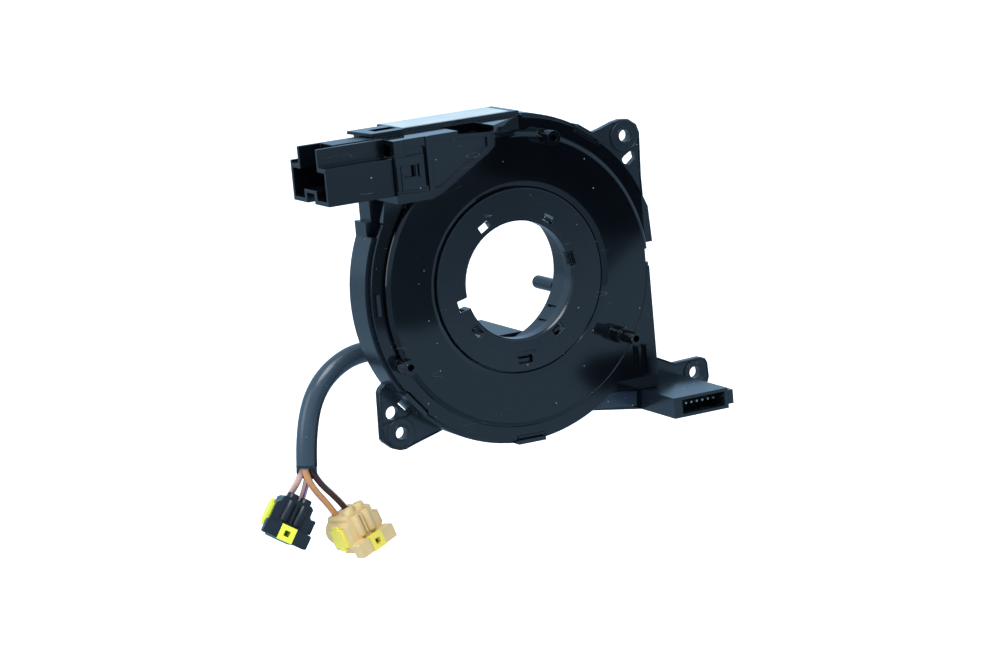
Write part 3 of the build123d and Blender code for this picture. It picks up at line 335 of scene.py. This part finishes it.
link_nodes(metal_tree, metal_rough, metal_shader.inputs["Roughness"])
finishes["pin_metal"] = metal
finishes["stripe_violet"] = moulded("stripe_violet", (0.11, 0.06, 0.42), 0.35, scratches=0.0, dust=0.0)
finishes["stripe_pale"] = moulded("stripe_pale", (0.50, 0.36, 0.33), 0.35, scratches=0.0, dust=0.0)
# Painted reflection: the panel's base colour is lighter than the cover's black, standing in for a brighter
# sheen than its gloss gives.
finishes["panel_plastic_painted_sheen"] = moulded("panel_plastic_painted_sheen", (0.016, 0.028, 0.046), 0.16)
print("finishes:", sorted(finishes))

# %% Each CAD node gets its finish
slots = {part["node"]: part["material_slot"] for part in frame["record"]["subparts"]}
for name, node in nodes.items():
    node.data.materials.clear()
    node.data.materials.append(finishes[slots[name]])
    for polygon in node.data.polygons:
        polygon.material_index = 0
cord_nodes = ["harness_sleeve", "wire_black_1", "wire_black_2", "wire_beige_1", "wire_beige_2"]
for cord, node in zip([sleeve, *wires], cord_nodes):
    cord.data.materials.append(finishes[slots[node]])
    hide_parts(node)
    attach(cord, "rotor")
print("finished nodes:", len(slots))

# %% [markdown]
# ## Small radii on the moulded edges
# No moulded edge is truly sharp, and the thin bright line along it is what makes black plastic readable.
# The CAD mesh is loose triangles, so its points are welded first; only then can a Bevel modifier see the
# real edges. On the plainer pieces the flat faces are joined as well. The cover is too detailed for that, and
# takes a finer radius, and the shell gets none, as its small windows and hooks would tear. These stay
# modifiers, because the CAD mesh itself is fixed.

# %% Edge radii
def soften(name, width, join_flats=True):
    """Live modifiers that give a CAD node's sharp edges a small radius."""
    node = nodes[name]
    weld = node.modifiers.new("weld", "WELD")
    weld.merge_threshold = 0.000002
    if join_flats:
        flat = node.modifiers.new("flat faces", "DECIMATE")
        flat.decimate_type = "DISSOLVE"
        flat.angle_limit = radians(0.6)
    edge = node.modifiers.new("edge radius", "BEVEL")
    edge.width = width * MM
    edge.segments = 2
    edge.limit_method = "ANGLE"
    edge.angle_limit = radians(32)
    edge.use_clamp_overlap = False
    edge.harden_normals = not join_flats
    if join_flats:
        even = node.modifiers.new("even shading", "WEIGHTED_NORMAL")
        even.keep_sharp = False
        even.weight = 100


soften("stator_cover", 0.10, join_flats=False)
for name in ("harness_socket", "retaining_ring", "rotor_hub", "cable_tower"):
    soften(name, 0.22)
for name in ("black_connector", "beige_connector", "black_cpa", "beige_cpa"):
    soften(name, 0.14)
for name in ("black_lock", "beige_lock"):
    soften(name, 0.06)

# %% [markdown]
# ## Small relief that the CAD model leaves out
# The three ears are stiffened by a low bead that runs round their edge, and each screw hole sits in a
# raised ring. A bead is quickest as a path with a round section that is then turned into a mesh, a ring is
# a torus. The sleeve ends in a slanted mouth, whose far side hangs lower behind the wires: it is half a
# tube. Both plugs get two flutes, the rims of their towers and a side lug. Three wires carry a printed
# stripe and the sleeve a seam, each a thin line of its own that barely stands out.

# %% Beads, rings, the mouth of the sleeve and the stripes
def active_piece(name, slot, body, finish=None):
    """Names the active object, applies its transform, and gives it a finish and a body."""
    piece = bpy.context.active_object
    piece.name = name
    bpy.ops.object.transform_apply(location=True, rotation=True, scale=True)
    piece.data.materials.clear()
    piece.data.materials.append(finishes[finish or slot])
    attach(piece, body)
    return piece


def bead(name, points, y, radius, slot="shell_plastic"):
    """A round bead through points given as X and Z in millimetres."""
    data = bpy.data.curves.new(name, "CURVE")
    data.dimensions = "3D"
    data.bevel_depth = radius * MM
    data.bevel_resolution = 3
    data.use_fill_caps = True
    spline = data.splines.new("POLY")
    spline.points.add(len(points) - 1)
    for control, (x, z) in zip(spline.points, points):
        control.co = (x * MM, y * MM, z * MM, 1)
    curve = bpy.data.objects.new(name, data)
    bpy.context.scene.collection.objects.link(curve)
    bpy.ops.object.select_all(action="DESELECT")
    curve.select_set(True)
    bpy.context.view_layer.objects.active = curve
    bpy.ops.object.convert(target="MESH")
    bpy.ops.object.shade_smooth()
    return active_piece(name, slot, "stator")


def screw_ring(name, x, z, y, radius, thickness, slot="shell_plastic"):
    """A raised ring round a screw hole."""
    bpy.ops.object.select_all(action="DESELECT")
    bpy.ops.mesh.primitive_torus_add(
        location=(x * MM, y * MM, z * MM),
        rotation=(pi / 2, 0, 0),
        major_radius=radius * MM,
        minor_radius=thickness * MM,
        major_segments=48,
        minor_segments=8,
    )
    bpy.ops.object.shade_smooth()
    return active_piece(name, slot, "stator")


ear_front = 0.5
ring_front = 0.05
bead_r = 0.35
fine_r = 0.22  # beads and rings that barely stand out
bead(
    "bead_right",
    [
        (48.3, 46.0), (51.1, 46.5), (54.1, 46.2), (56.9, 44.1), (57.9, 41.3), (57.2, 26.4),
        (57.3, 19.0),
    ],
    ear_front,
    bead_r,
)
bead(
    "plateau_left",
    [
        (-50.2, -43.2), (-47.0, -42.5), (-44.3, -41.8), (-41.6, -42.1), (-39.0, -40.8),
        (-37.2, -39.6),
    ],
    ear_front - 0.2,
    fine_r,
)
bead(
    "bead_left",
    [
        (-47.2, -28.9), (-49.6, -31.0), (-50.3, -32.1), (-50.8, -48.2), (-50.3, -49.1),
        (-47.3, -51.7), (-44.8, -52.7), (-42.6, -52.8), (-38.7, -51.6), (-30.0, -49.3),
    ],
    ear_front,
    bead_r,
)
bead(
    "bead_low",
    [
        (58.0, -39.1), (64.7, -42.4), (75.2, -42.1), (77.0, -42.7), (77.8, -44.2), (78.0, -49.1),
        (77.5, -50.7), (75.8, -52.2), (70.0, -53.0),
    ],
    ear_front,
    bead_r,
)
for name, x, z, pad in (("right", 52.0, 41.1, 5.3), ("left", -43.9, -47.2, 5.2), ("low", 72.4, -46.7, 4.0)):
    screw_ring("pad_ring_" + name, x, z, ring_front, pad - 0.2, fine_r)
    screw_ring("hole_ring_" + name, x, z, ring_front, 2.7, fine_r)

bpy.ops.object.select_all(action="DESELECT")
bpy.ops.mesh.primitive_cube_add(size=1)
bpy.ops.object.mode_set(mode="EDIT")
bpy.ops.mesh.select_all(action="SELECT")
bpy.ops.transform.resize(value=(17.2 * MM, 0.7 * MM, 5.6 * MM), center_override=(0, 0, 0))
bpy.ops.transform.rotate(value=-0.10, orient_axis="Y", center_override=(0, 0, 0))
bpy.ops.transform.translate(value=(33.9 * MM, -10.1 * MM, -48.1 * MM))
bpy.ops.mesh.bevel(offset=0.25 * MM, segments=2, affect="EDGES")
bpy.ops.object.mode_set(mode="OBJECT")
# The panel's finish carries painted reflection in its lighter base colour.
active_piece("duct_panel", "cover_plastic", "stator", "panel_plastic_painted_sheen")

bpy.ops.object.select_all(action="DESELECT")
bpy.ops.mesh.primitive_cylinder_add(
    vertices=32, radius=sleeve_d / 2 * MM, depth=9 * MM, end_fill_type="NOTHING"
)
tongue = bpy.context.active_object
bpy.ops.object.mode_set(mode="EDIT")
bpy.ops.mesh.select_all(action="SELECT")
bpy.ops.transform.rotate(value=-0.07, orient_axis="Y", center_override=(0, 0, 0))
bpy.ops.transform.translate(value=((mouth_x - 0.25) * MM, cable_y * MM, (mouth_z - 3.4) * MM))
bpy.ops.mesh.bisect(
    plane_co=(mouth_x * MM, cable_y * MM, (mouth_z - 2.4) * MM),
    plane_no=(-0.42, -0.5, -0.76),
    clear_inner=False,
    clear_outer=True,
)
bpy.ops.object.mode_set(mode="OBJECT")
wall = tongue.modifiers.new("wall", "SOLIDIFY")
wall.thickness = 0.7 * MM
wall.offset = -1
bpy.ops.object.modifier_apply(modifier=wall.name)
bpy.ops.object.shade_smooth_by_angle(angle=radians(40))
# Painted shade: the half tube takes the darker plug_black finish instead of the sleeve's own rubber, standing
# in for the shade inside the mouth.
active_piece("sleeve_mouth", "sleeve_rubber", "rotor", "plug_black")


def plug_piece(name, slot, place, local, upright=False):
    """Moves the active object to a place in a connector's own axes, and finishes it."""
    turn = Matrix.Rotation(pi / 2, 4, "X") if upright else Matrix.Identity(4)
    at = Matrix.Translation((place @ Vector(local)) * MM)
    bpy.context.active_object.matrix_world = at @ place.to_3x3().to_4x4() @ turn
    bpy.context.view_layer.update()
    return active_piece(name, slot, "rotor")


for plug, slot, place in (("black", "plug_black", black_place), ("beige", "plug_beige", beige_place)):
    for side, x in (("left", -row_x), ("right", row_x)):
        bpy.ops.object.select_all(action="DESELECT")
        bpy.ops.mesh.primitive_cylinder_add(vertices=24, radius=1.6 * MM, depth=7.6 * MM)
        bpy.ops.object.mode_set(mode="EDIT")
        bpy.ops.mesh.select_all(action="SELECT")
        bpy.ops.mesh.bevel(offset=0.2 * MM, segments=2, affect="EDGES", clamp_overlap=True)
        bpy.ops.object.mode_set(mode="OBJECT")
        bpy.ops.object.shade_smooth_by_angle(angle=radians(35))
        plug_piece(plug + "_flute_" + side, slot, place, (x, 7.4, 3.1), upright=True)
        bpy.ops.object.select_all(action="DESELECT")
        bpy.ops.mesh.primitive_torus_add(
            major_radius=1.55 * MM, minor_radius=0.55 * MM, major_segments=32, minor_segments=10
        )
        bpy.ops.object.shade_smooth()
        plug_piece(plug + "_tower_rim_" + side, slot, place, (x, 13.4, 1.0), upright=True)
    bpy.ops.object.select_all(action="DESELECT")
    bpy.ops.mesh.primitive_cube_add(size=1)
    bpy.ops.object.mode_set(mode="EDIT")
    bpy.ops.mesh.select_all(action="SELECT")
    bpy.ops.transform.resize(value=(1.6 * MM, 5.2 * MM, 3.4 * MM), center_override=(0, 0, 0))
    bpy.ops.mesh.bevel(offset=0.35 * MM, segments=2, affect="EDGES")
    bpy.ops.object.mode_set(mode="OBJECT")
    bpy.ops.object.shade_smooth_by_angle(angle=radians(35))
    plug_piece(plug + "_side_lug", slot, place, (7.7, 5.6, 0.4))


def stripe(cord, slot, finish, aside):
    """A thin printed line along a wire, moved to the side that is seen."""
    line = cord.copy()
    line.data = cord.data.copy()
    line.name = cord.name + "_stripe"
    line.data.bevel_depth = 0.45 * MM
    line.data.bevel_resolution = 3
    for control in line.data.splines[0].points:
        moved = [place + shift * MM for place, shift in zip(control.co, aside)]
        control.co = (*moved, 1)
    bpy.context.scene.collection.objects.link(line)
    bpy.ops.object.select_all(action="DESELECT")
    line.select_set(True)
    bpy.context.view_layer.objects.active = line
    bpy.ops.object.convert(target="MESH")
    bpy.ops.object.shade_smooth()
    for key in [key for key in line.keys() if key.startswith("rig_")]:
        del line[key]
    return active_piece(line.name, slot, "rotor", finish)


stripe(sleeve, "sleeve_rubber", "plug_black", (2.25, -3.0, 0.2))
stripe(wires[0], "wire_violet", "stripe_violet", (0.55, -0.62, 0.0))
stripe(wires[1], "wire_violet", "stripe_violet", (-0.20, -0.80, 0.0))
stripe(wires[3], "wire_brown", "stripe_pale", (0.40, -0.55, 0.50))
print("relief pieces added")

# %% [markdown]
# ## Floor, light and background
# The part floats in an even white studio. Glossy black plastic has hardly any colour of its own: what is
# seen on it is the room. So the room is pale and cool to reflections, and four cards stand where the flat
# face mirrors them: a pale one behind, and a dim and two near-black ones before it. They are placed for this
# one camera, so from any other side their images fall elsewhere on the face.

# %% Floor and world
def studio_white(tree, soft, output, bright):
    """Shows plain white to the camera and a cool near-white to reflections, in place of the soft shader."""
    path = tree.nodes.new("ShaderNodeLightPath")
    mirrored = math_node(tree, "MAXIMUM", path.outputs["Is Glossy Ray"], path.outputs["Is Transmission Ray"])
    for seen, color, strength in (
        (mirrored, COOL, 0.95),
        (path.outputs["Is Camera Ray"], (1, 1, 1, 1), 1.0),
    ):
        plain = tree.nodes.new(bright)
        plain.inputs["Color"].default_value = color
        plain.inputs["Strength"].default_value = strength
        pick = tree.nodes.new("ShaderNodeMixShader")
        link_nodes(tree, seen, pick.inputs[0])
        link_nodes(tree, soft, pick.inputs[1])
        link_nodes(tree, plain.outputs[0], pick.inputs[2])
        soft = pick.outputs[0]
    link_nodes(tree, soft, output)


bpy.ops.object.select_all(action="DESELECT")
bpy.ops.mesh.primitive_plane_add(size=16, location=(0, 0, -0.20))
floor = bpy.context.active_object
floor.name = "floor"
paper, tree, shader = finish_material("floor_paper")
shader.inputs["Base Color"].default_value = (0.70, 0.79, 0.88, 1)
shader.inputs["Roughness"].default_value = 0.9
lift = tree.nodes.new("ShaderNodeEmission")
path = tree.nodes.new("ShaderNodeLightPath")
link_nodes(tree, math_node(tree, "MULTIPLY", path.outputs["Is Camera Ray"], 0.8), lift.inputs["Strength"])
both = tree.nodes.new("ShaderNodeAddShader")
link_nodes(tree, shader.outputs[0], both.inputs[0])
link_nodes(tree, lift.outputs[0], both.inputs[1])
cool = tree.nodes.new("ShaderNodeEmission")
cool.inputs["Color"].default_value = COOL
cool.inputs["Strength"].default_value = 0.62
seen = tree.nodes.new("ShaderNodeMixShader")
link_nodes(tree, path.outputs["Is Glossy Ray"], seen.inputs[0])
link_nodes(tree, both.outputs[0], seen.inputs[1])
link_nodes(tree, cool.outputs[0], seen.inputs[2])
link_nodes(tree, seen.outputs[0], tree.nodes["Material Output"].inputs[0])
floor.data.materials.append(paper)

world = bpy.data.worlds.new("studio")
bpy.context.scene.world = world
world.use_nodes = True
tree = world.node_tree
soft = tree.nodes["Background"]
soft.inputs["Color"].default_value = (0.86, 0.93, 1.0, 1)
soft.inputs["Strength"].default_value = 0.85
studio_white(tree, soft.outputs[0], tree.nodes["World Output"].inputs[0], "ShaderNodeBackground")
print("floor at", round(floor.location.z, 3), "world", world.name)

# %% Reflection cards
card_y = -0.45
face_y = -0.013


def mirrored_place(x, y, z):
    """Where on a card's plane the flat face shows a mirror image at that place of its own."""
    eye = camera.matrix_world.translation
    reach = (face_y - y) / (face_y - eye.y)
    return Vector((x + (x - eye.x) * reach, y, z + (z - eye.z) * reach))


def reflection_card(name, y, level, corners):
    """A glowing card that only reflections see; its image in the face has these corners in millimetres."""
    glow = bpy.data.materials.new(name)
    glow.use_nodes = True
    glow.node_tree.nodes.clear()
    light = glow.node_tree.nodes.new("ShaderNodeEmission")
    light.inputs["Color"].default_value = COOL
    light.inputs["Strength"].default_value = level
    output = glow.node_tree.nodes.new("ShaderNodeOutputMaterial")
    link_nodes(glow.node_tree, light.outputs[0], output.inputs[0])
    mesh = bpy.data.meshes.new(name)
    mesh.from_pydata([mirrored_place(x * MM, y, z * MM) for x, z in corners], [], [range(len(corners))])
    mesh.materials.append(glow)
    card = bpy.data.objects.new(name, mesh)
    bpy.context.scene.collection.objects.link(card)
    card.visible_camera = False
    card.visible_diffuse = False
    card.visible_transmission = False
    card.visible_shadow = False
    return card


cards = [
    reflection_card("card_pale", card_y, 1.0, [(-90, 80), (100, 80), (100, -75), (-90, -75)]),
    reflection_card(
        "card_dim",
        card_y + 0.01,
        0.22,
        [
            (-62, 28), (-37, 34), (-14, 47), (-12, 62), (70, 62), (56.7, 11.3), (51.3, 8.9), (38.6, 1.5),
            (32.2, -3.4), (-40.2, -10.3), (-59.2, -7.4),
        ],
    ),
    reflection_card(
        "card_deep",
        card_y + 0.02,
        0.04,
        [(-13.1, 39.2), (18.0, 28.4), (34.1, 8.5), (54, 8), (58, 62), (-8, 62)],
    ),
    reflection_card(
        "card_corner",
        card_y + 0.02,
        0.0,
        [(18.0, -35.1), (23.9, -30.8), (39.0, -31.0), (49.7, -33.6), (48.7, -47.7), (23.5, -43.1)],
    ),
]
print("cards:", [card.name for card in cards])


# %% Lamps
def soft_lamp(name, place, target, size, power):
    """A square softbox that points at a target."""
    data = bpy.data.lights.new(name, "AREA")
    data.shape = "SQUARE"
    data.size = size
    data.energy = power
    data.color = (0.93, 0.97, 1.0)
    lamp = bpy.data.objects.new(name, data)
    bpy.context.scene.collection.objects.link(lamp)
    aim = (Vector(target) - Vector(place)).to_track_quat("-Z", "Y")
    lamp.matrix_world = Matrix.Translation(place) @ aim.to_matrix().to_4x4()
    return lamp


soft_lamp("key", (-0.5, -0.5, 1.0), (0, 0, 0), 0.7, 12)
soft_lamp("side", (-1.1, 0.0, 0.3), (0, 0, 0), 0.6, 3)
bpy.context.scene.view_settings.view_transform = "Standard"
print("lamps:", [lamp.name for lamp in bpy.data.lights])
